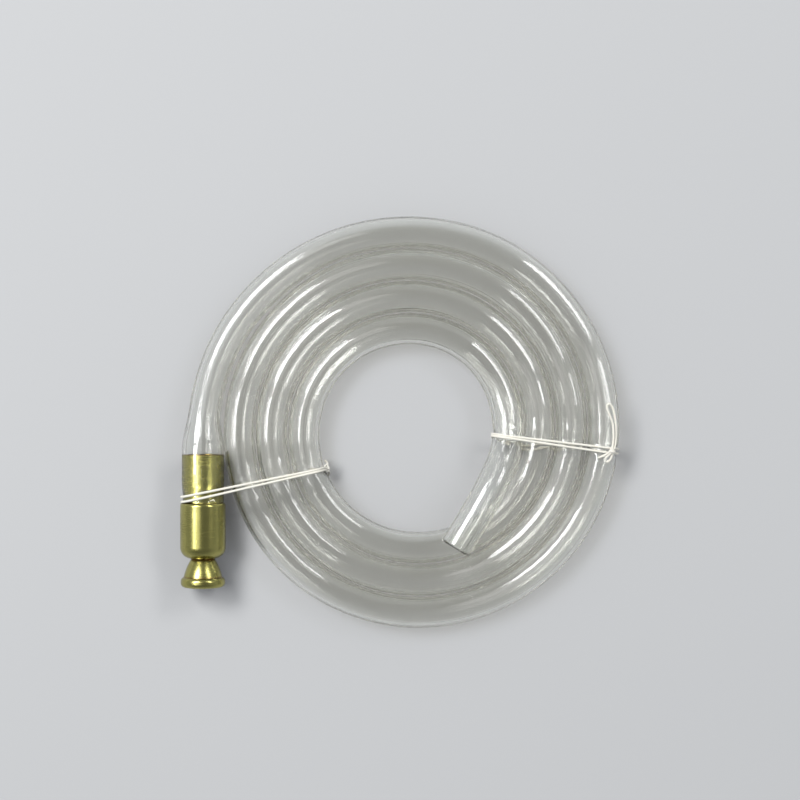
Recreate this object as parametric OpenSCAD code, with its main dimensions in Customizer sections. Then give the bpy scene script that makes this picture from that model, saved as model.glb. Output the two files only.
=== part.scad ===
// Self-priming siphon hose: a clear hose wound in a flat coil, held by two string
// ties, with a brass foot valve on its outer end. The valve lies on its side along Y,
// foot towards -Y. The origin is on the floor, under the middle of the valve.

/* [Hose] */
// Outside diameter of the hose
hose_od = 16.4; // [14:0.1:17]
// Bore of the hose
hose_id = 12.7; // [10:0.1:13]
// Gap between neighbouring turns of the coil
turn_gap = 0.4; // [0.3:0.1:1]
// Radius of the first and widest quarter turn
coil_r = 107.4; // [102:0.1:126]
// Outside diameter of the hose where it is stretched over the hose tail
cuff_d = 22; // [21:0.1:23]
// Length over which the stretched hose comes back to its own size
cuff_taper = 6; // [4:0.5:12]
// How far the second turn swings in to pass the stretched hose
cuff_room = 1.8; // [1.8:0.1:3]

/* [Free end of the hose] */
// Radius of the bend that lifts the end on to the turn beside it
lift_r = 50; // [48:1:52]
// Angle of the lifting bend
lift_angle = 60; // [56:1:62]
// Slope of the plane that the lifting bend lies in
lift_tilt = 22; // [20:1:24]
// Radius of the bend that levels the end off again
level_r = 120; // [100:5:150]
// Angle of the levelling bend
level_angle = 16; // [12:1:18]
// Length of the straight stretch up to the cut
end_l = 14; // [10:1:20]

/* [Foot valve] */
// Outside diameter of the valve chamber
chamber_d = 23.6; // [23:0.1:24.4]
// Length of the valve chamber
chamber_l = 29; // [28:0.5:32]
// Length of the flared foot
foot_l = 15; // [14:0.5:17]
// Outside diameter of the foot's rim
rim_d = 23; // [22:0.1:23.6]
// Outside diameter of the throat between foot and chamber
throat_d = 11.8; // [11:0.1:12.5]
// Outside diameter of the hose tail
tail_d = 19; // [18:0.1:19.4]
// Length of the hose tail that stands out of the chamber
tail_l = 25; // [22:0.5:30]
// Thickness of the sheet brass
wall = 1; // [0.8:0.1:1.2]

/* [Ball] */
// Diameter of the glass ball
ball_d = 16; // [15:0.1:16.5]
// How far the ball lifts off its seat
ball_lift = 7.5; // [4:0.5:8]
// Diameter of the pin that stops the ball
pin_d = 2; // [1.5:0.1:2.5]

/* [String ties] */
// Thickness of the string
string_d = 1.2; // [1:0.1:1.5]
// Width of the two strands side by side
tie_w = 3; // [2:0.1:4]

/* [Hidden] */
$fn = 64;

clear_colour = [0.86, 0.90, 0.92, 0.45];
brass_colour = [0.60, 0.56, 0.30];
string_colour = [0.93, 0.92, 0.86];

// Heights of the valve's axis and of the middle of the coiled hose
string_bite = 0.2;
axis_h = max(chamber_d / 2, cuff_d / 2 + string_d);
hose_h = string_d - string_bite + hose_od / 2;
valve_l = foot_l + chamber_l + tail_l;

// Coil: quarter turns, each one a step smaller than the last, about four centres. The
// second one is smaller by the room for the stretched hose as well.
step = (hose_od + turn_gap) / 4;
full_quarters = 13;
last_quarter_angle = 58;
function quarter_r(k) = coil_r - step * (k - 1) - (k > 1 ? cuff_room : 0);
function quarter_start(k) = 90 * ((3 - k % 4 + 4) % 4);

// The hose dips from the valve's axis to the coil's height over a short bend and the
// first quarter turn, which is tilted by the same angle
dip_r = 100;
dip = atan2(dip_r, coil_r)
      - asin((dip_r - (axis_h - hose_h)) / sqrt(dip_r * dip_r + coil_r * coil_r));
coil_start_y = valve_l / 2 + cuff_taper + dip_r * sin(dip);
coil_c = [coil_r + step / 2, coil_start_y + coil_r * cos(dip) - quarter_r(2) - step / 2];
function quarter_c(k) = coil_c + step / 2 * [
    k % 4 == 1 || k % 4 == 2 ? -1 : 1,
    k % 4 == 2 || k % 4 == 3 ? 1 : -1];

// The levelling bend is rolled this far from flat, towards the floor
level_roll = 60;

// Swept stretches of hose are polygons just inside the hose's own wall
tube_sides = 12;
tube_inset = 0.05;
tube_step = 6;
tube_lap = 1; // How far one laps into the round stretch of its own node

// Foot
rim_h = 5.4;
rim_round = 2.2;
cone_d = 20; // Where the foot's cone meets the top of the rim
cone_round = 30; // Radius of the cone's slightly swelling side
mouth_d = 15.8;
collar_l = 2;

// Chamber
base_round = 5.8;
shoulder_round = 1.6;

// Hose tail
skirt_l = 6;
flange_d = chamber_d - 2 * shoulder_round - 0.2;

// Ball on its seat, which is the inner edge of the foot's collar
seat_gap = 0.03;
seat_r = throat_d / 2 - wall;
seat_h = foot_l + collar_l;
ball_h = seat_h + sqrt(pow(ball_d / 2, 2) - seat_r * seat_r) + seat_gap;
pin_h = ball_h + ball_lift + ball_d / 2 + pin_d / 2 + 0.1;

// Ties. The left one crosses the valve's axis, and the right one starts at the hose's
// free end and is placed from the coil's centre.
knot_d = 3.6;
left_tie_y = 13.5;
left_tie_angle = 12;
left_tie_l = 56.3;
right_tie_at = [48.9, -3.4];
right_tie_angle = -7.6;
right_tie_l = 50.1;
right_tie_lift = 4.2;

// Centre of a circle of radius r through p and q, on the left going from p to q
function arc_centre(p, q, r) =
    let (m = (p + q) / 2, d = q - p, h = sqrt(r * r - d * d / 4))
    m + h / norm(d) * [-d[1], d[0]];

// A ring of hose wall
module hose_section() {
    difference() {
        circle(d = hose_od);
        circle(d = hose_id);
    }
}

// Frames along the hose. A frame's +Z is the way the hose runs, and a bend turns it
// towards the frame's +X, rolled about +Z first.
function shift(v) = [[1, 0, 0, v[0]], [0, 1, 0, v[1]], [0, 0, 1, v[2]], [0, 0, 0, 1]];
function about_x(a) = [[1, 0, 0, 0], [0, cos(a), -sin(a), 0], [0, sin(a), cos(a), 0], [0, 0, 0, 1]];
function about_y(a) = [[cos(a), 0, sin(a), 0], [0, 1, 0, 0], [-sin(a), 0, cos(a), 0], [0, 0, 0, 1]];
function about_z(a) = [[cos(a), -sin(a), 0, 0], [sin(a), cos(a), 0, 0], [0, 0, 1, 0], [0, 0, 0, 1]];
function bent(f, r, angle, roll = 0) =
    f * about_z(roll) * shift([r * (1 - cos(angle)), 0, r * sin(angle)]) * about_y(angle)
      * about_z(-roll);

// Hose wall swept through a list of frames, as one closed polyhedron
module swept_hose(frames) {
    n = tube_sides;
    rings = len(frames);
    radii = [hose_od / 2 - tube_inset, (hose_id / 2 + tube_inset) / cos(180 / n)];
    points = [for (f = frames) for (r = radii) for (i = [0 : n - 1])
        let (q = f * [r * cos(360 * i / n), r * sin(360 * i / n), 0, 1]) [q[0], q[1], q[2]]];
    // Corner i of the outer (side 0) or inner (side 1) polygon of ring j
    function at(j, side, i) = j * 2 * n + side * n + i % n;
    function pair(a, b, c, d) = [[a, b, c], [a, c, d]];
    quads = [for (i = [0 : n - 1]) each [
        for (j = [0 : rings - 2]) each [
            each pair(at(j, 0, i), at(j + 1, 0, i), at(j + 1, 0, i + 1), at(j, 0, i + 1)),
            each pair(at(j, 1, i + 1), at(j + 1, 1, i + 1), at(j + 1, 1, i), at(j, 1, i))],
        each pair(at(0, 1, i), at(0, 0, i), at(0, 0, i + 1), at(0, 1, i + 1)),
        each pair(at(rings - 1, 0, i), at(rings - 1, 1, i),
                  at(rings - 1, 1, i + 1), at(rings - 1, 0, i + 1))]];
    polyhedron(points, quads);
}

// A quarter turn of the coil, or less than a quarter
module quarter(k, angle = 90) {
    translate([quarter_c(k)[0], quarter_c(k)[1], hose_h])
        rotate_extrude(start = quarter_start(k) - angle, angle = angle)
            translate([quarter_r(k), 0]) hose_section();
}

// Stands a shape that was drawn up +Z from the foot's rim along the valve's axis
module on_valve_axis() {
    translate([0, -valve_l / 2, axis_h]) rotate([-90, 0, 0]) children();
}

// Hose from the valve's shoulder to the top of the first quarter turn
module hose_lead() {
    start = shift([0, valve_l / 2 + cuff_taper, axis_h]) * about_x(-90);
    dipped = bent(start, dip_r, dip, 90);
    color(clear_colour) {
        on_valve_axis() translate([0, 0, foot_l + chamber_l]) {
            difference() {
                cylinder(d = cuff_d, h = tail_l);
                cylinder(d = tail_d, h = tail_l);
            }
            translate([0, 0, tail_l]) difference() {
                cylinder(d1 = cuff_d, d2 = hose_od, h = cuff_taper);
                cylinder(d1 = tail_d, d2 = hose_id, h = cuff_taper);
            }
        }
        swept_hose([
            start * shift([0, 0, -tube_lap]),
            for (a = [0 : tube_step : 90]) bent(dipped, coil_r, a)]);
    }
}

// The flat coil
module hose_coil() {
    color(clear_colour) {
        for (k = [2 : full_quarters]) quarter(k);
        quarter(full_quarters + 1, last_quarter_angle);
    }
}

// Where the hose leaves the coil, after the lifting bend, and after the levelling bend
function rise_start() =
    let (k = full_quarters + 1)
    shift([quarter_c(k)[0], quarter_c(k)[1], hose_h])
        * about_z(quarter_start(k) - last_quarter_angle)
        * shift([quarter_r(k), 0, 0]) * about_x(90) * about_z(180);
function rise_lifted(angle = lift_angle) = bent(rise_start(), lift_r, angle, -lift_tilt);
function rise_level(angle = level_angle) = bent(rise_lifted(), level_r, angle, level_roll);

// The hose climbing on to the turn outside it
module hose_rise() {
    color(clear_colour) swept_hose([
        for (a = [0 : lift_angle / 8 : lift_angle]) rise_lifted(a),
        rise_level(level_angle / 2),
        rise_level()]);
}

// The straight end of the hose, cut square
module hose_end() {
    color(clear_colour) multmatrix(rise_level()) linear_extrude(end_l) hose_section();
}

// Half outline of the foot, drawn in by t on every side
module foot_half(t) {
    throat = [throat_d / 2, foot_l];
    cone = [cone_d / 2, rim_h];
    r = rim_d / 2;
    square([throat_d / 2 - t, foot_l + collar_l]);
    intersection() {
        translate([0, rim_h - rim_round]) square([rim_d, foot_l - rim_h + rim_round]);
        translate(arc_centre(cone, throat, cone_round)) circle(r = cone_round - t);
    }
    translate([0, t]) square([r - rim_round, rim_h - 2 * t]);
    translate([0, rim_round]) square([r - t, rim_h - 2 * rim_round]);
    for (h = [rim_round, rim_h - rim_round])
        translate([r - rim_round, h]) circle(r = rim_round - t);
}

// Flared foot with a rolled rim. Its collar goes up into the chamber as the ball's seat.
module foot_bell() {
    color(brass_colour) on_valve_axis() rotate_extrude() difference() {
        intersection() {
            foot_half(0);
            square([rim_d, foot_l + collar_l]);
        }
        foot_half(wall);
        square([mouth_d / 2, 2 * wall]);
        translate([0, foot_l]) square([throat_d / 2 - wall, 2 * collar_l]);
    }
}

// Half outline of the chamber, drawn in by t on every side
module chamber_half(t) {
    r = chamber_d / 2;
    side_l = chamber_l - base_round - shoulder_round;
    translate([0, t]) square([r - base_round, chamber_l - 2 * t]);
    translate([r - base_round, base_round]) circle(r = base_round - t);
    translate([0, base_round]) square([r - t, side_l]);
    translate([0, base_round]) square([r - shoulder_round, chamber_l - base_round - t]);
    translate([r - shoulder_round, base_round + side_l]) circle(r = shoulder_round - t);
}

// Round chamber with a hole for the foot's collar and one for the hose tail
module valve_chamber() {
    color(brass_colour) on_valve_axis() translate([0, 0, foot_l]) difference() {
        rotate_extrude() difference() {
            chamber_half(0);
            chamber_half(wall);
        }
        translate([0, 0, -wall]) cylinder(d = throat_d, h = 3 * wall);
        translate([0, 0, chamber_l - 2 * wall]) cylinder(d = tail_d, h = 3 * wall);
    }
}

// Straight tail for the hose. Its skirt hangs in the chamber and carries the stop pin.
module hose_tail() {
    top_h = foot_l + chamber_l;
    color(brass_colour) on_valve_axis() difference() {
        union() {
            translate([0, 0, top_h - skirt_l]) cylinder(d = tail_d, h = skirt_l + tail_l);
            translate([0, 0, top_h - 2 * wall]) cylinder(d = flange_d, h = wall);
        }
        translate([0, 0, top_h - skirt_l - wall])
            cylinder(d = tail_d - 2 * wall, h = skirt_l + tail_l + 2 * wall);
        translate([0, 0, pin_h]) rotate([0, 90, 0])
            cylinder(d = pin_d, h = 2 * tail_d, center = true);
    }
}

// Glass ball, resting on its seat
module valve_ball() {
    color("lightblue") on_valve_axis() translate([0, 0, ball_h]) sphere(d = ball_d);
}

// Pin across the hose tail's skirt, which keeps the ball out of the tail
module ball_stop_pin() {
    color("silver") on_valve_axis() translate([0, 0, pin_h]) rotate([0, 90, 0])
        cylinder(d = pin_d, h = tail_d, center = true);
}

// A loop of string pulled tight round stretches of hose. Each spot is a hose that it
// bears on: how far along the tie it lies, its height and its radius.
module tie(spots, knot) {
    color(string_colour) {
        rotate([90, 0, 0]) linear_extrude(tie_w, center = true) difference() {
            hull() for (s = spots) translate([s[0], s[1]])
                circle(r = s[2] - string_bite + string_d, $fn = 32);
            hull() for (s = spots) translate([s[0], s[1]])
                circle(r = s[2] - string_bite, $fn = 32);
        }
        translate(knot) sphere(d = knot_d, $fn = 24);
    }
}

// Tie across the stretched hose and the turns beside it
module left_tie() {
    translate([0, left_tie_y, 0]) rotate([0, 0, left_tie_angle])
        tie([[0, axis_h, cuff_d / 2], [left_tie_l, hose_h, hose_od / 2]],
            [left_tie_l + hose_od / 2 + string_d, 0, hose_h]);
}

// Tie across all the turns on the other side
module right_tie() {
    translate([coil_c[0] + right_tie_at[0], coil_c[1] + right_tie_at[1], 0])
        rotate([0, 0, right_tie_angle])
            tie([[0, right_tie_lift + hose_h, hose_od / 2],
                 [right_tie_l / 3, hose_h, hose_od / 2],
                 [right_tie_l, hose_h, hose_od / 2]],
                [right_tie_l - 4, 0, hose_h + hose_od / 2 + string_d]);
}

hose_lead();
hose_coil();
hose_rise();
hose_end();
hose_tail();
valve_chamber();
foot_bell();
valve_ball();
ball_stop_pin();
left_tie();
right_tie();
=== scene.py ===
import math

import bpy
import numpy as np
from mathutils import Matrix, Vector


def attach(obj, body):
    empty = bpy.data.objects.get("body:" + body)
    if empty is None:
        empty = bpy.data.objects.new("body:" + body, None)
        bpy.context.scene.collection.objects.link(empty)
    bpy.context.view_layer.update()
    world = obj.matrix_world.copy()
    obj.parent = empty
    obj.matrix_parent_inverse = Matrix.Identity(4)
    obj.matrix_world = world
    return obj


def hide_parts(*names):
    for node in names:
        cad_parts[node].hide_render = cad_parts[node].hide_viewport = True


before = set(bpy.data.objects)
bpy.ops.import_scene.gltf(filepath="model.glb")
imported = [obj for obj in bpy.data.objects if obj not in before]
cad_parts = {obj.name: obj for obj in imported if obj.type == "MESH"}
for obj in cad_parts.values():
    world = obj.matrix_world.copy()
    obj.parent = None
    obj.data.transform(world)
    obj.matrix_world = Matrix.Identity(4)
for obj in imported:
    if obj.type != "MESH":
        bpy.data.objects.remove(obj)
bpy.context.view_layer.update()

# ---------------------------------------------------------------------------
# Sizes repeated from the CAD source, in metres and degrees
# ---------------------------------------------------------------------------
HOSE_R = 0.0082  # outside of the hose
BORE_R = 0.00635  # inside of the hose
CUFF_R = 0.011  # outside of the hose where it is stretched over the hose tail
CUFF_TAPER = 0.006  # straight stretch of hose beyond the hose tail
TAIL_R = 0.0095  # outside of the hose tail
TAIL_L = 0.025  # how far the hose tail stands out of the chamber
SHOULDER_Y = 0.0095  # end of the chamber, where the hose starts
FOOT_Y = -0.0345  # plane of the foot's rim
AXIS_H = 0.0122  # height of the valve's axis
HOSE_H = 0.0092  # height of the coil's middle line
COIL_R = 0.1074  # radius of the first quarter turn
STEP = 0.0042  # how much smaller each quarter turn is than the one before
CUFF_ROOM = 0.0018  # how far the second turn swings in to pass the stretched hose
FULL_QUARTERS = 13
LAST_QUARTER_DEG = 58
DIP_R = 0.1  # bend from the valve's height down to the coil's
LIFT_R, LIFT_DEG, LIFT_TILT = 0.05, 60, 22  # bend that lifts the free end
LEVEL_R, LEVEL_DEG, LEVEL_ROLL = 0.12, 16, 60  # bend that levels it off again
END_L = 0.014  # straight stretch up to the cut
STRAND_R = 0.0006  # string

# The dip ends at the coil's height
DIP = (math.atan2(DIP_R, COIL_R)
       - math.asin((DIP_R - (AXIS_H - HOSE_H)) / math.hypot(DIP_R, COIL_R)))


# ---------------------------------------------------------------------------
# The hose's route: a frame's +Z runs along the hose, and it bends towards +X
# ---------------------------------------------------------------------------
def shift(x, y, z):
    m = np.eye(4)
    m[:3, 3] = (x, y, z)
    return m


def about(axis, degrees):
    c, s = math.cos(math.radians(degrees)), math.sin(math.radians(degrees))
    i, j = {"x": (1, 2), "y": (2, 0), "z": (0, 1)}[axis]
    m = np.eye(4)
    m[i, i] = m[j, j] = c
    m[i, j], m[j, i] = -s, s
    return m


def bent(f, r, degrees, roll=0.0):
    """Frame f moved so many degrees along a bend of radius r, in a plane turned by roll"""
    a = math.radians(degrees)
    along = shift(r * (1 - math.cos(a)), 0, r * math.sin(a))
    return f @ about("z", roll) @ along @ about("y", degrees) @ about("z", -roll)


def quarter_r(k):
    return COIL_R - STEP * (k - 1) - (CUFF_ROOM if k > 1 else 0)


coil_c = np.array([
    COIL_R + STEP / 2,
    SHOULDER_Y + TAIL_L + CUFF_TAPER + DIP_R * math.sin(DIP) + COIL_R * math.cos(DIP)
    - quarter_r(2) - STEP / 2])


def quarter_frame(k, degrees):
    """Frame on quarter turn k of the flat coil, so many degrees along it"""
    c = coil_c + STEP / 2 * np.array([-1 if k % 4 in (1, 2) else 1, 1 if k % 4 in (2, 3) else -1])
    start = 90 * ((3 - k % 4 + 4) % 4)
    turned = shift(c[0], c[1], HOSE_H) @ about("z", start - degrees)
    return turned @ shift(quarter_r(k), 0, 0) @ about("x", 90) @ about("z", 180)


def stretches():
    """Length of each stretch of the hose, and the frame at a distance along it"""
    start = shift(0, SHOULDER_Y, AXIS_H) @ about("x", -90)
    yield TAIL_L + CUFF_TAPER, lambda d: start @ shift(0, 0, d)
    top = start @ shift(0, 0, TAIL_L + CUFF_TAPER)
    yield DIP_R * DIP, lambda d: bent(top, DIP_R, math.degrees(d / DIP_R), 90)
    dipped = bent(top, DIP_R, math.degrees(DIP), 90)
    yield COIL_R * math.pi / 2, lambda d: bent(dipped, COIL_R, math.degrees(d / COIL_R))
    for k in range(2, FULL_QUARTERS + 2):
        r = quarter_r(k)
        deg = 90 if k <= FULL_QUARTERS else LAST_QUARTER_DEG
        yield r * math.radians(deg), lambda d, k=k, r=r: quarter_frame(k, math.degrees(d / r))
    rise = quarter_frame(FULL_QUARTERS + 1, LAST_QUARTER_DEG)
    yield (LIFT_R * math.radians(LIFT_DEG),
           lambda d: bent(rise, LIFT_R, math.degrees(d / LIFT_R), -LIFT_TILT))
    lifted = bent(rise, LIFT_R, LIFT_DEG, -LIFT_TILT)
    yield (LEVEL_R * math.radians(LEVEL_DEG),
           lambda d: bent(lifted, LEVEL_R, math.degrees(d / LEVEL_R), LEVEL_ROLL))
    level = bent(lifted, LEVEL_R, LEVEL_DEG, LEVEL_ROLL)
    yield END_L, lambda d: level @ shift(0, 0, d)


def smooth(x):
    """0 to 1 with no kink at either end"""
    x = np.clip(x, 0, 1)
    return x * x * x * (x * (6 * x - 15) + 10)


def fade(x, start, width):
    return smooth((x - start) / width)


def tie_line(at, degrees, length):
    """A tie's line on the floor plan: its start, direction and length"""
    a = math.radians(degrees)
    return np.array(at), np.array([math.cos(a), math.sin(a)]), length


# Plan distances by which a tie's string passes each end of its line before it turns down
BEFORE_LINE, AFTER_LINE = 0.012, 0.01
left_line = tie_line(at=(0.0, 0.0135), degrees=12.0, length=0.0563)
right_line = tie_line(at=coil_c + (0.0489, -0.0034), degrees=-7.6, length=0.0501)


def off_line(p, line):
    """Distance on plan from point p to a tie's line, out to where the string turns down"""
    at, d, length = line
    u = np.clip((p[:2] - at) @ d, -BEFORE_LINE, length + AFTER_LINE)
    return float(np.linalg.norm(p[:2] - at - u * d))


# ---------------------------------------------------------------------------
# Rings of the hose: place along it, frame, and distance from the nearest tie.
# They are closer together where a string presses into it.
# ---------------------------------------------------------------------------
RING_STEP, FINE_STEP, FINE_REACH = 0.0022, 0.0005, 0.006
ring_s, ring_f, ring_near = [], [], []
s_done = carry = 0.0
for length, at in stretches():
    d = carry
    while d < length - 1e-9:
        f = at(d)
        near = min(off_line(f[:3, 3], left_line), off_line(f[:3, 3], right_line))
        ring_s.append(s_done + d)
        ring_f.append(f)
        ring_near.append(near)
        d += FINE_STEP if near < FINE_REACH else RING_STEP
    carry = d - length
    s_done += length
ring_s = np.array(ring_s + [s_done])
ring_f = np.array(ring_f + [at(length)])
ring_near = np.array(ring_near + [1.0])
rows = len(ring_s)

# Between the ties the coil settles on the floor; the ties' strings hold it up a little
SETTLE = 0.001
settle = SETTLE * fade(ring_near, start=0.008, width=0.06)
settle[-1] = settle[-2]
ring_f[:, 2, 3] -= settle

# A hose wound by hand isn't quite even: it wanders a little up and sideways, in two waves
# that beat together
WANDER_UP, UP_WAVES, UP_PHASE = 0.00022, (0.0153, 0.0411), 1.0
WANDER_OUT, OUT_WAVES, OUT_PHASE = 0.00013, (0.0187, 0.0523), 0.6
free = (fade(ring_s, start=0.05, width=0.03) * fade(ring_s[-1] - ring_s, start=0, width=0.02)
        * fade(ring_near, start=0.006, width=0.02))
beat = np.sin(ring_s / UP_WAVES[0] + UP_PHASE) * np.sin(ring_s / UP_WAVES[1])
ring_f[:, 2, 3] += free * WANDER_UP * (1 + beat) / 2
beat = np.sin(ring_s / OUT_WAVES[0]) * np.sin(ring_s / OUT_WAVES[1] + OUT_PHASE)
ring_f[:, :3, 3] += ring_f[:, :3, 0] * (free * WANDER_OUT * beat)[:, None]


# ---------------------------------------------------------------------------
# Meshes
# ---------------------------------------------------------------------------
def link(name, data):
    ob = bpy.data.objects.new(name, data)
    bpy.context.scene.collection.objects.link(ob)
    return ob


def mesh_object(name, verts, faces):
    me = bpy.data.meshes.new(name)
    me.from_pydata([tuple(v) for v in verts], [], faces)
    me.validate()
    me.polygons.foreach_set("use_smooth", [True] * len(me.polygons))
    me.update()
    return link(name, me)


def grid_faces(rings, cols, flip=False, base=0, closed=False):
    """Faces between rings of so many points, the last joined to the first where closed"""
    faces = []
    for j in range(rings if closed else rings - 1):
        a, b = base + j * cols, base + (j + 1) % rings * cols
        for i in range(cols):
            i1 = (i + 1) % cols
            q = (a + i, a + i1, b + i1, b + i)
            faces.append(q[::-1] if flip else q)
    return faces


SIDES = 56  # points on each ring of the hose
theta = np.arange(SIDES) * 2 * math.pi / SIDES


def ring_points(radius):
    """A ring of points in the plane of each frame of the hose, of each radius"""
    c = ring_f[:, None, :3, 3]
    x, y = ring_f[:, None, :3, 0], ring_f[:, None, :3, 1]
    r = radius[:, None, None]
    return c + r * (np.cos(theta)[None, :, None] * x + np.sin(theta)[None, :, None] * y)


CUFF_EASE = 0.026  # length over which the stretched hose comes back to its own size
CONTACT = 0.00006  # how far the hose's inner wall goes into the brass that it grips
LIP = 0.0003  # rounding of the hose's edge at the chamber
ease = smooth((ring_s - TAIL_L + 0.001) / CUFF_EASE)
outer_r = CUFF_R + (HOSE_R - CUFF_R) * ease
inner_r = TAIL_R - CONTACT + (BORE_R - TAIL_R + CONTACT) * ease
outer_r[0] -= LIP
outer = ring_points(outer_r)
inner = ring_points(inner_r)
all_outer = outer.reshape(-1, 3)


# ---------------------------------------------------------------------------
# String
# ---------------------------------------------------------------------------
def hull_2d(points):
    pts = sorted(map(tuple, points))

    def half(seq):
        out = []
        for p in seq:
            while len(out) > 1 and ((out[-1][0] - out[-2][0]) * (p[1] - out[-2][1])
                                    - (out[-1][1] - out[-2][1]) * (p[0] - out[-2][0])) <= 0:
                out.pop()
            out.append(p)
        return out

    return np.array(half(pts)[:-1] + half(pts[::-1])[:-1])


def resample(points, step, closed=True):
    """Points about a step apart along a line"""
    p = np.vstack([points, points[:1]]) if closed else np.asarray(points)
    d = np.r_[0, np.cumsum(np.linalg.norm(np.diff(p, axis=0), axis=1))]
    n = max(8, int(round(d[-1] / step)))
    t = np.linspace(0, d[-1], n + 1)[: n if closed else n + 1]
    return np.column_stack([np.interp(t, d, p[:, i]) for i in range(p.shape[1])])


DENT, DENT_W = 0.00065, 0.0030  # depth and width of the dent that a string presses
BITE = DENT - 0.0001  # how far a string lies inside the round hose
LOOP_STEP = 0.0004
# The hose's points that a strand bears on: so far past each end of its tie's line, and so
# far to each side of the strand
HULL_BEFORE, HULL_AFTER, HULL_SIDE = 0.0125, 0.0095, 0.0005
SOFTENINGS = 6  # rounds of smoothing where a strand leaves one hose for the next
RETURN_H = 0.014  # height below which a strand counts as its return


def tie_loop(line, gap_start, gap_end, lean=0.0):
    """A strand's line pulled tight round every hose under a tie. It runs beside the tie's own
    line by a gap that changes along it. Its return under the hoses strays by a lean at the
    tie's start."""
    at, d, length = line
    side = np.array([-d[1], d[0]])
    u = (all_outer[:, :2] - at) @ d
    v = (all_outer[:, :2] - at) @ side

    def gap(u):
        return gap_start + (gap_end - gap_start) * np.clip(u / length, 0, 1)

    under = (u > -HULL_BEFORE) & (u < length + HULL_AFTER) & (abs(v - gap(u)) < HULL_SIDE)
    hull = hull_2d(np.column_stack([u[under], all_outer[under, 2]]))
    # the hull grows by a strand's radius, less what the strand bites into the hose
    grown = [hull + (STRAND_R - BITE) * np.array([math.cos(a), math.sin(a)])
             for a in np.arange(24) * 2 * math.pi / 24]
    loop = resample(hull_2d(np.vstack(grown)), LOOP_STEP)
    for _ in range(SOFTENINGS):
        loop = (np.roll(loop, 1, axis=0) + 2 * loop + np.roll(loop, -1, axis=0)) / 4
    low = smooth(1 - (loop[:, 1] - STRAND_R) / RETURN_H)
    g = gap(loop[:, 0]) - lean * low * (1 - smooth(loop[:, 0] / length))
    xy = at + loop[:, :1] * d + g[:, None] * side
    return np.column_stack([xy, np.maximum(loop[:, 1], STRAND_R)])


STRAND_STEP = 0.00035
STRAND_SIDES = 18
PLIES = 3
LAY = 0.0042  # length in which the plies turn once round
PLY_LOW, PLY_RISE, PLY_SHAPE = 0.86, 0.20, 0.8  # radius between the plies, and their swell
TIP, TIP_L = 0.35, 0.0012  # how thin a cut end is, and the length it tapers over


def strand(points, closed=True):
    """Vertices and faces of a three-ply string along a line of points. An open one tapers
    at its ends."""
    p = resample(points, STRAND_STEP, closed)
    n = len(p)
    t = np.roll(p, -1, axis=0) - np.roll(p, 1, axis=0)
    if not closed:
        t[0], t[-1] = p[1] - p[0], p[-1] - p[-2]
    t /= np.linalg.norm(t, axis=1)[:, None]
    a = np.cross(t[0], (0.31, 0.12, 0.94))
    a /= np.linalg.norm(a)
    frames = []
    for i in range(n):
        a = a - t[i] * (a @ t[i])
        a /= np.linalg.norm(a)
        frames.append((a, np.cross(t[i], a)))
    d = np.r_[0, np.cumsum(np.linalg.norm(np.diff(p, axis=0), axis=1))]
    total = d[-1] + (np.linalg.norm(p[0] - p[-1]) if closed else 0)
    turns = max(1, round(total / LAY))
    # a closed loop's frames come back turned by some angle, which is spread along it
    miss = 0.0
    if closed:
        b = frames[-1][0] - t[0] * (frames[-1][0] @ t[0])
        miss = math.atan2(b @ frames[0][1], b @ frames[0][0])
    phi = np.arange(STRAND_SIDES) * 2 * math.pi / STRAND_SIDES
    verts = []
    for i in range(n):
        roll = 2 * math.pi * turns * d[i] / total
        swell = np.abs(np.cos(PLIES / 2 * (phi - roll))) ** PLY_SHAPE
        r = STRAND_R * (PLY_LOW + PLY_RISE * swell)
        if not closed:
            r = r * min(1.0, TIP + min(d[i], total - d[i]) / TIP_L)
        turn = phi - miss * d[i] / total
        x, y = frames[i]
        verts += list(p[i] + r[:, None] * (np.cos(turn)[:, None] * x + np.sin(turn)[:, None] * y))
    faces = grid_faces(n, STRAND_SIDES, closed=closed)
    if not closed:
        faces.append(tuple(range(STRAND_SIDES))[::-1])
        faces.append(tuple((n - 1) * STRAND_SIDES + i for i in range(STRAND_SIDES)))
    return verts, faces


SPLINE_PARTS = 12


def loose(points):
    """A strand along a smooth line through these points (Catmull-Rom)"""
    p = np.asarray(points, float)
    q = np.vstack([2 * p[0] - p[1], p, 2 * p[-1] - p[-2]])
    line = []
    for i in range(1, len(q) - 2):
        for t in np.arange(SPLINE_PARTS) / SPLINE_PARTS:
            line.append(0.5 * (2 * q[i] + (q[i + 1] - q[i - 1]) * t
                               + (2 * q[i - 1] - 5 * q[i] + 4 * q[i + 1] - q[i + 2]) * t * t
                               + (3 * q[i] - q[i - 1] - 3 * q[i + 1] + q[i + 2]) * t ** 3))
    line.append(q[-2])
    return strand(resample(np.array(line), LOOP_STEP, False), closed=False)


WRAP_STEP = 0.35  # radians


def wrap(centre, along, side, up, r_side, r_up, turns, pitch, floor_up):
    """A strand wound round a bundle of strings, flat where it lies on the hose"""
    pts = []
    for t in np.arange(0, turns * 2 * math.pi, WRAP_STEP):
        u = max(r_up * math.sin(t), floor_up)
        on = pitch * (t / (2 * math.pi) - turns / 2)
        pts.append(centre + along * on + side * r_side * math.cos(t) + up * u)
    return loose(pts)


def join_strands(name, strands):
    verts, faces = [], []
    for v, f in strands:
        base = len(verts)
        verts += v
        faces += [tuple(base + i for i in q) for q in f]
    return mesh_object(name, verts, faces)


UP = np.array([0.0, 0.0, 1.0])


def level_axes(line):
    """A tie's direction and the direction across it, in space"""
    x, y = line[1]
    return np.array([x, y, 0.0]), np.array([-y, x, 0.0])


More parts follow.
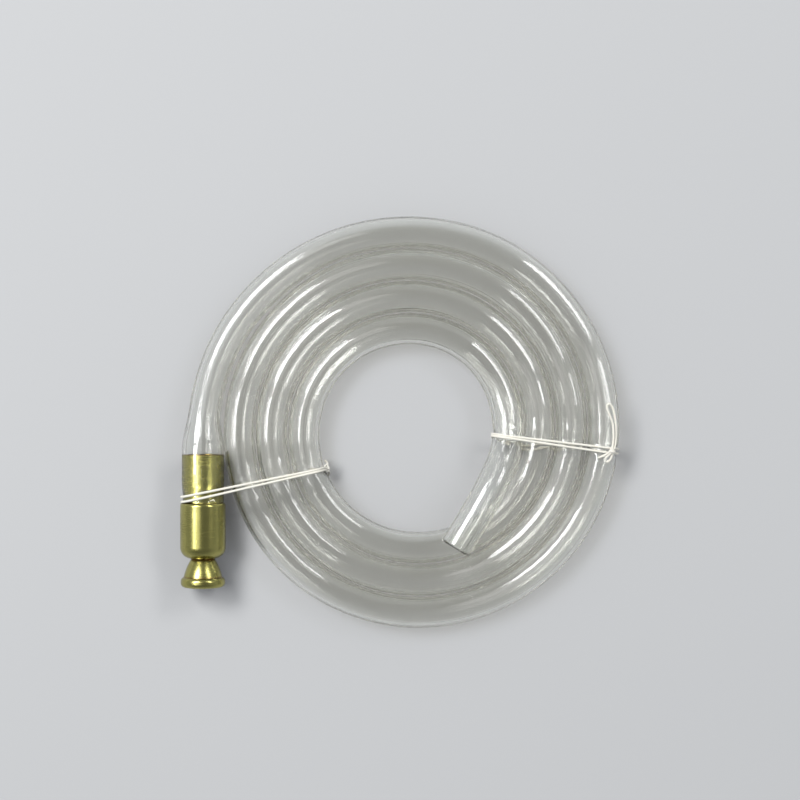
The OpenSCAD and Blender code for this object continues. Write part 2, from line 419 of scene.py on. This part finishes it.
left_loops = [tie_loop(left_line, gap_start=s * 0.0013, gap_end=s * 0.0006) for s in (-1, 1)]
right_loops = [tie_loop(right_line, gap_start=s * 0.00055, gap_end=s * 0.0012, lean=lean)
               for s, lean in ((-1, 0.0052), (1, 0.0044))]

# Right tie: a knot on the outer turn, a long narrow loop that stands back along the
# hose, a small curl on the other side and a short cut end. Places are in mm: back along
# the hose from the tie, outward over the hose, and lifted off it.
KNOT_OUT, KNOT_LIFT = 3.8, 0.6
STANDING = [
    (0.4, 3.3, 1.0), (3.0, 4.0, 0.7), (7.5, 4.5, 0.1), (13.5, 3.9, 0), (18.4, 2.2, 0),
    (21.4, 1.1, 0), (23.2, 1.5, 0), (23.4, 3.1, 0), (20.6, 4.7, 0), (14.2, 5.8, 0),
    (7.2, 6.1, 0.1), (3.0, 5.4, 0.7), (0.4, 4.6, 1.0)]
CURL = [
    (-0.3, 4.0, 0.9), (-2.4, 4.3, 0.6), (-4.4, 3.9, 0.1), (-5.7, 2.6, 0), (-5.2, 1.4, 0),
    (-3.9, 1.3, 0.3), (-2.6, 2.1, 0.6), (-1.4, 2.9, 0.8), (-0.2, 3.4, 0.9)]
CUT_END = [(0.0, 3.0, 0.9), (-1.8, 1.4, 0.8), (-3.0, -0.2, 0.3), (-4.0, -1.6, 0), (-4.4, -2.9, 0)]
LIE = STRAND_R - 0.0001  # a loose strand's height on the hose
tie_end = right_line[0] + right_line[2] * right_line[1]
tie_s = ring_s[int(np.argmin(np.linalg.norm(ring_f[:, :2, 3] - tie_end, axis=1)))]


def on_turn(back, out, lift=0.0):
    """A strand's place on the outer turn, from millimetres as in the lists above"""
    s = tie_s - back / 1000
    j = int(np.clip(np.searchsorted(ring_s, s), 1, rows - 1))
    t = (s - ring_s[j - 1]) / (ring_s[j] - ring_s[j - 1])
    c = ring_f[j - 1, :3, 3] * (1 - t) + ring_f[j, :3, 3] * t
    a = out / 1000 / (HOSE_R + LIE)
    return c + (HOSE_R + LIE + lift / 1000) * (math.cos(a) * UP - math.sin(a) * ring_f[j, :3, 0])


knot_at = on_turn(0, KNOT_OUT, KNOT_LIFT)
knot_up = on_turn(0, KNOT_OUT, lift=10) - on_turn(0, KNOT_OUT)
knot_up /= np.linalg.norm(knot_up)
tie_side = level_axes(right_line)[1]
knot_dir = np.cross(tie_side, knot_up)
right_knot = [
    wrap(knot_at, knot_dir, tie_side, knot_up,
         r_side=0.00165, r_up=0.0010, turns=2.1, pitch=0.00115, floor_up=-0.0004),
    wrap(knot_at + knot_up * 0.0005, tie_side, knot_dir, knot_up,
         r_side=0.0015, r_up=0.0011, turns=1.1, pitch=0.0010, floor_up=-0.0003)]
right_knot += [loose([on_turn(*p) for p in line]) for line in (STANDING, CURL, CUT_END)]

# Left tie: its knot sits against the innermost turn it holds, with two short cut ends.
# Places of the ends are in metres: outward, along the hose, and up.
left_dir, left_side = level_axes(left_line)
left_end = max(((l[:, :2] - left_line[0]) @ left_line[1]).max() for l in left_loops)
left_knot_at = np.array([*(left_line[0] + left_line[1] * left_end), HOSE_H])
left_knot = [
    wrap(left_knot_at + left_dir * 0.0003, UP, left_side, left_dir,
         r_side=0.0017, r_up=0.0010, turns=2.1, pitch=0.00115, floor_up=-0.0005),
    wrap(left_knot_at + left_dir * 0.0006, left_side, UP, left_dir,
         r_side=0.0014, r_up=0.0010, turns=1.1, pitch=0.0009, floor_up=-0.0004)]
for sign, reach in ((1, 0.0052), (-1, 0.0044)):
    left_knot.append(loose([
        left_knot_at + left_dir * x + left_side * sign * y + UP * z
        for x, y, z in ((0.0006, 0.0006, 0), (0.0012, 0.0018, -0.0010), (0.0010, 0.0030, -0.0028),
                        (0.0004, 0.0036, -reach), (0.0002, 0.0041, -reach - 0.0022))]))

left_string = join_strands("left_string", [strand(l) for l in left_loops] + left_knot)
right_string = join_strands("right_string", [strand(l) for l in right_loops] + right_knot)

# ---------------------------------------------------------------------------
# Hose
# ---------------------------------------------------------------------------
# Strings press a dent into the hose, which puckers a little beside them
PRESS_REACH = 0.012
PUCKER, PUCKERS_ROUND, PUCKER_PITCH, PUCKER_START = 0.5, 5, 0.0021, 0.0012
strings = np.vstack(left_loops + right_loops)
for j in np.where(ring_near < PRESS_REACH)[0]:
    p = outer[j]
    d2 = ((p[:, None, :] - strings[None, :, :]) ** 2).sum(axis=2).min(axis=1)
    gap = np.maximum(0, np.sqrt(d2) - STRAND_R)
    pucker = 1 + (PUCKER * np.sin(PUCKERS_ROUND * theta + ring_s[j] / PUCKER_PITCH)
                  * (1 - np.exp(-(gap / PUCKER_START) ** 2)))
    inward = ring_f[j, :3, 3] - p
    inward /= np.linalg.norm(inward, axis=1)[:, None]
    outer[j] = p + inward * (DENT * pucker * np.exp(-gap ** 2 / DENT_W ** 2))[:, None]

wall = rows * SIDES  # the inner wall's points come after the outer wall's
verts = np.vstack([outer.reshape(-1, 3), inner.reshape(-1, 3)])
faces = grid_faces(rows, SIDES) + grid_faces(rows, SIDES, flip=True, base=wall)
for i in range(SIDES):
    i1 = (i + 1) % SIDES
    faces.append((i, wall + i, wall + i1, i1))
    a, b = wall - SIDES + i, wall - SIDES + i1
    faces.append((a, b, wall + b, wall + a))
hose = mesh_object("hose", verts, faces)

# Each point's place on the straightened hose, for streaks that run along it
place = np.zeros((2, rows, SIDES, 3))
for layer, r in zip(place, (HOSE_R, BORE_R)):
    layer[:, :, 0] = r * np.cos(theta)
    layer[:, :, 1] = r * np.sin(theta)
    layer[:, :, 2] = ring_s[:, None]
attr = hose.data.attributes.new("along_hose", "FLOAT_VECTOR", "POINT")
attr.data.foreach_set("vector", place.reshape(-1))


# ---------------------------------------------------------------------------
# Materials
# ---------------------------------------------------------------------------
def material(name):
    """A new material: itself, its nodes, its Principled shader and its output"""
    m = bpy.data.materials.new(name)
    m.use_nodes = True
    nt = m.node_tree
    nt.nodes.clear()
    out = nt.nodes.new("ShaderNodeOutputMaterial")
    p = nt.nodes.new("ShaderNodeBsdfPrincipled")
    nt.links.new(p.outputs[0], out.inputs["Surface"])
    return m, nt, p, out


def wire(nt, kind, **sockets):
    """A new node with values or links on the sockets of these names"""
    n = nt.nodes.new(kind)
    for name, value in sockets.items():
        put(nt, n.inputs[name.replace("_", " ")], value)
    return n


def put(nt, socket, value):
    """A link or a value for one socket"""
    if isinstance(value, bpy.types.NodeSocket):
        nt.links.new(value, socket)
    else:
        socket.default_value = value


def object_place(nt):
    return nt.nodes.new("ShaderNodeTexCoord").outputs["Object"]


def stretched(nt, source, scale):
    """source's coordinates, scaled on each axis"""
    return wire(nt, "ShaderNodeMapping", Vector=source, Scale=scale).outputs[0]


def noise(nt, vector, scale, detail=2.0, roughness=0.5):
    return wire(nt, "ShaderNodeTexNoise", Vector=vector, Scale=scale, Detail=detail,
                Roughness=roughness).outputs["Fac"]


def bump(nt, height, distance, normal=None):
    n = wire(nt, "ShaderNodeBump", Height=height, Distance=distance, Strength=1.0)
    if normal is not None:
        nt.links.new(normal, n.inputs["Normal"])
    return n.outputs[0]


def ramp(nt, value, span, to=(0.0, 1.0)):
    """value's span mapped to another, and held at its ends"""
    return wire(nt, "ShaderNodeMapRange", Value=value, From_Min=span[0], From_Max=span[1],
                To_Min=to[0], To_Max=to[1]).outputs[0]


def blend_colour(nt, fac, a, b):
    m = nt.nodes.new("ShaderNodeMix")
    m.data_type = "RGBA"
    for index, value in ((0, fac), (6, a), (7, b)):
        put(nt, m.inputs[index], value)
    return m.outputs[2]


def math_node(nt, op, a, b=None):
    n = nt.nodes.new("ShaderNodeMath")
    n.operation = op
    put(nt, n.inputs[0], a)
    if b is not None:
        put(nt, n.inputs[1], b)
    return n.outputs[0]


def clear_pvc():
    """Clear soft PVC with the fine lines that the die leaves along it"""
    m, nt, p, out = material("clear_pvc")
    along = nt.nodes.new("ShaderNodeAttribute")
    along.attribute_name = "along_hose"
    where = along.outputs["Vector"]
    die_lines = noise(nt, stretched(nt, where, (1, 1, 0.004)), scale=1000, detail=1.5)
    ribs = noise(nt, stretched(nt, where, (1, 1, 0.008)), scale=430, detail=1.0)
    waves = noise(nt, stretched(nt, where, (1, 1, 0.3)), scale=60, detail=1.0)
    normal = bump(nt, waves, 0.00015)
    normal = bump(nt, ribs, 0.00018, normal)
    normal = bump(nt, die_lines, 0.00015, normal)
    put(nt, p.inputs["Normal"], normal)
    put(nt, p.inputs["Roughness"], ramp(nt, die_lines, (0.35, 0.75), to=(0.015, 0.11)))
    p.inputs["Base Color"].default_value = (0.985, 0.99, 0.98, 1)
    p.inputs["Transmission Weight"].default_value = 1.0
    p.inputs["IOR"].default_value = 1.53
    # the lamps' light passes straight through it, so that its shadow is a clear hose's
    clear = wire(nt, "ShaderNodeBsdfTransparent", Color=(0.92, 0.916, 0.91, 1))
    mix = nt.nodes.new("ShaderNodeMixShader")
    shadow = nt.nodes.new("ShaderNodeLightPath").outputs["Is Shadow Ray"]
    for socket, source in zip(mix.inputs, (shadow, p.outputs[0], clear.outputs[0])):
        nt.links.new(source, socket)
    nt.links.new(mix.outputs[0], out.inputs["Surface"])
    tint = wire(nt, "ShaderNodeVolumeAbsorption", Color=(0.70, 0.69, 0.50, 1), Density=28)
    nt.links.new(tint.outputs[0], out.inputs["Volume"])
    return m


BRASS_OLIVE, BRASS_DULL = (0.445, 0.415, 0.140, 1), (0.31, 0.288, 0.092, 1)
BRASS_SPECK, BRASS_RED_TARNISH_AND_SHADE = (0.17, 0.13, 0.06, 1), (0.22, 0.105, 0.04, 1)
# Rings where the brass is painted reddish and darker: partly tarnish, partly painted shade in the
# creases and along the hose tail's cut edge. Place along the valve, half width and strength
BRASS_TARNISH_AND_SHADE_RINGS = [
    (FOOT_Y + 0.015, 0.0011, 0.85),  # throat
    (FOOT_Y + 0.0055, 0.0009, 0.5),  # top of the rim
    (SHOULDER_Y, 0.0007, 0.6),  # shoulder
    (SHOULDER_Y + TAIL_L, 0.0006, 0.9)]  # cut end of the hose tail


def brass():
    """Spun sheet brass with fine marks round the valve's axis, an olive tarnish, and reddish
    tarnish with painted shade in its creases
    """
    m, nt, p, _ = material("brass")
    at = object_place(nt)
    y = wire(nt, "ShaderNodeSeparateXYZ", Vector=at).outputs[1]
    marks = noise(nt, stretched(nt, at, (0.03, 1, 0.03)), scale=5200, detail=3.0, roughness=0.6)
    patches = noise(nt, at, scale=75, detail=5.0, roughness=0.62)
    specks = noise(nt, at, scale=1100)
    colour = blend_colour(nt, ramp(nt, patches, (0.34, 0.68)), BRASS_OLIVE, BRASS_DULL)
    colour = blend_colour(nt, ramp(nt, specks, (0.68, 0.8), to=(0, 0.45)), colour, BRASS_SPECK)
    # each crease ring is painted reddish and darker: part tarnish, part painted shade
    for centre, half, strength in BRASS_TARNISH_AND_SHADE_RINGS:
        off = math_node(nt, "ABSOLUTE", math_node(nt, "SUBTRACT", y, centre))
        edge = math_node(nt, "ADD", ramp(nt, off, (0, half), to=(1, 0)),
                         math_node(nt, "MULTIPLY", patches, 0.5))
        tarnish_and_shade = ramp(nt, edge, (0.45, 1.2), to=(0, strength))
        colour = blend_colour(nt, tarnish_and_shade, colour, BRASS_RED_TARNISH_AND_SHADE)
    put(nt, p.inputs["Base Color"], colour)
    p.inputs["Metallic"].default_value = 1.0
    put(nt, p.inputs["Roughness"],
        math_node(nt, "ADD", ramp(nt, patches, (0.3, 0.75), to=(0.15, 0.28)),
                  ramp(nt, marks, (0.35, 0.7), to=(0.0, 0.07))))
    put(nt, p.inputs["Normal"], bump(nt, marks, 0.000008, bump(nt, patches, 0.00006)))
    return m


COTTON_SHADE, COTTON_LIGHT = (0.56, 0.54, 0.465, 1), (0.82, 0.805, 0.745, 1)
COTTON_CREAM = (0.72, 0.68, 0.56, 1)


def cotton():
    """Off-white cotton string, darker between its fibres and creamier in places"""
    m, nt, p, _ = material("cotton")
    at = object_place(nt)
    fibres = noise(nt, at, scale=4200, detail=3.0, roughness=0.7)
    tone = noise(nt, at, scale=160)
    colour = blend_colour(nt, ramp(nt, fibres, (0.3, 0.7)), COTTON_SHADE, COTTON_LIGHT)
    colour = blend_colour(nt, ramp(nt, tone, (0.4, 0.75), to=(0, 0.35)), colour, COTTON_CREAM)
    put(nt, p.inputs["Base Color"], colour)
    p.inputs["Roughness"].default_value = 0.88
    p.inputs["Sheen Weight"].default_value = 0.25
    put(nt, p.inputs["Normal"], bump(nt, fibres, 0.00008))
    return m


def glass_ball():
    """Clear bottle-green glass with a few fine scuffs"""
    m, nt, p, _ = material("ball_glass")
    scuffs = noise(nt, stretched(nt, object_place(nt), (1, 0.3, 1)), scale=1500, detail=4.0,
                   roughness=0.7)
    put(nt, p.inputs["Roughness"], ramp(nt, scuffs, (0.5, 0.8), to=(0.02, 0.3)))
    put(nt, p.inputs["Normal"], bump(nt, scuffs, 0.00001))
    p.inputs["Base Color"].default_value = (0.86, 0.93, 0.88, 1)
    p.inputs["Transmission Weight"].default_value = 1.0
    p.inputs["IOR"].default_value = 1.52
    return m


STEEL_BRIGHT, STEEL_DULL = (0.58, 0.57, 0.55, 1), (0.42, 0.40, 0.37, 1)


def drawn_steel():
    """Bright drawn wire with marks along it"""
    m, nt, p, _ = material("pin_steel")
    at = object_place(nt)
    drawn = noise(nt, stretched(nt, at, (0.04, 1, 1)), scale=6000, detail=3.0, roughness=0.6)
    tone = noise(nt, at, scale=300, detail=3.0, roughness=0.6)
    colour = blend_colour(nt, ramp(nt, tone, (0.35, 0.7)), STEEL_BRIGHT, STEEL_DULL)
    put(nt, p.inputs["Base Color"], colour)
    p.inputs["Metallic"].default_value = 1.0
    put(nt, p.inputs["Roughness"], ramp(nt, drawn, (0.3, 0.7), to=(0.18, 0.38)))
    put(nt, p.inputs["Normal"], bump(nt, drawn, 0.000006))
    return m


def floor_paper():
    m, nt, p, _ = material("floor_paper")
    p.inputs["Base Color"].default_value = (0.40, 0.405, 0.41, 1)
    p.inputs["Roughness"].default_value = 0.8
    return m


brass_mat, cotton_mat = brass(), cotton()
for name, mat in (("hose_tail", brass_mat), ("valve_chamber", brass_mat),
                  ("foot_bell", brass_mat), ("valve_ball", glass_ball()),
                  ("ball_stop_pin", drawn_steel())):
    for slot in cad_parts[name].material_slots:
        slot.material = mat
for ob, mat in ((hose, clear_pvc()), (left_string, cotton_mat), (right_string, cotton_mat)):
    ob.data.materials.append(mat)

# ---------------------------------------------------------------------------
# Which body each new piece belongs to; the CAD pieces that they replace are hidden
# ---------------------------------------------------------------------------
for ob in (hose, left_string, right_string):
    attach(ob, "siphon")
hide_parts("hose_lead", "hose_coil", "hose_rise", "hose_end")
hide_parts("left_tie")
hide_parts("right_tie")

PATH_STEP = 0.003
path = [ring_f[0, :3, 3]]
for p in ring_f[:, :3, 3]:
    if np.linalg.norm(p - path[-1]) > PATH_STEP:
        path.append(p)
path[-1] = ring_f[-1, :3, 3]
[list(map(float, p)) for p in path]

# ---------------------------------------------------------------------------
# Floor, light and camera
# ---------------------------------------------------------------------------
FLOOR_HALF = 20.0
me = bpy.data.meshes.new("floor")
me.from_pydata([(FLOOR_HALF * x, FLOOR_HALF * y, 0)
                for x, y in ((-1, -1), (1, -1), (1, 1), (-1, 1))], [], [(0, 1, 2, 3)])
floor = link("floor", me)
floor.data.materials.append(floor_paper())

# The studio's walls are brighter than its ceiling
WALL_LIGHT, CEILING_LIGHT = 0.62, 0.24
world = bpy.data.worlds.new("studio")
bpy.context.scene.world = world
world.use_nodes = True
wt = world.node_tree
view = wt.nodes.new("ShaderNodeTexCoord").outputs["Generated"]
height = wire(wt, "ShaderNodeSeparateXYZ", Vector=view).outputs[2]
background = wt.nodes["Background"].inputs
background[0].default_value = (0.84, 0.88, 0.95, 1)
put(wt, background[1], ramp(wt, height, (0.0, 0.75), to=(WALL_LIGHT, CEILING_LIGHT)))

MIDDLE = Vector((0.1025, 0.045, 0))  # where the softboxes point
# Softboxes: azimuth, tilt from straight above, distance, size and power
SOFTBOXES = {
    "key": (140, 40, 2.6, (1.12, 0.80), 50),
    "key_low": (174, 39, 2.6, (0.60, 0.56), 16),
    "side": (40, 48, 2.8, (1.04, 0.52), 22),
    "side_low": (14, 46, 2.8, (0.48, 0.40), 8)}
for name, (azimuth, tilt, distance, size, power) in SOFTBOXES.items():
    a, t = math.radians(azimuth), math.radians(tilt)
    d = Vector((math.sin(t) * math.cos(a), math.sin(t) * math.sin(a), math.cos(t)))
    lamp = bpy.data.lights.new(name, "AREA")
    lamp.shape = "RECTANGLE"
    lamp.size, lamp.size_y = size
    lamp.energy = power
    ob = link(name, lamp)
    ob.location = MIDDLE + d * distance
    ob.rotation_euler = (-d).to_track_quat("-Z", "Y").to_euler()

sky = bpy.data.lights.new("sky", "SUN")
sky.energy = 0.9
sky.angle = math.radians(50)
link("sky", sky).rotation_euler = (math.radians(-14), math.radians(-28), 0)

bpy.context.scene.view_settings.view_transform = "Standard"
cycles = bpy.context.scene.cycles
cycles.max_bounces = 32
cycles.transmission_bounces = 32
cycles.transparent_max_bounces = 48
cycles.glossy_bounces = 12
cycles.caustics_refractive = False
cycles.caustics_reflective = False

# Straight above, as the photo was taken
cam_data = bpy.data.cameras.new("camera")
cam = link("camera", cam_data)
cam.location = (0.1025, 0.0628, 0.9)
cam.rotation_euler = (0, 0, 0)
cam_data.lens = 76.8
bpy.context.scene.camera = cam
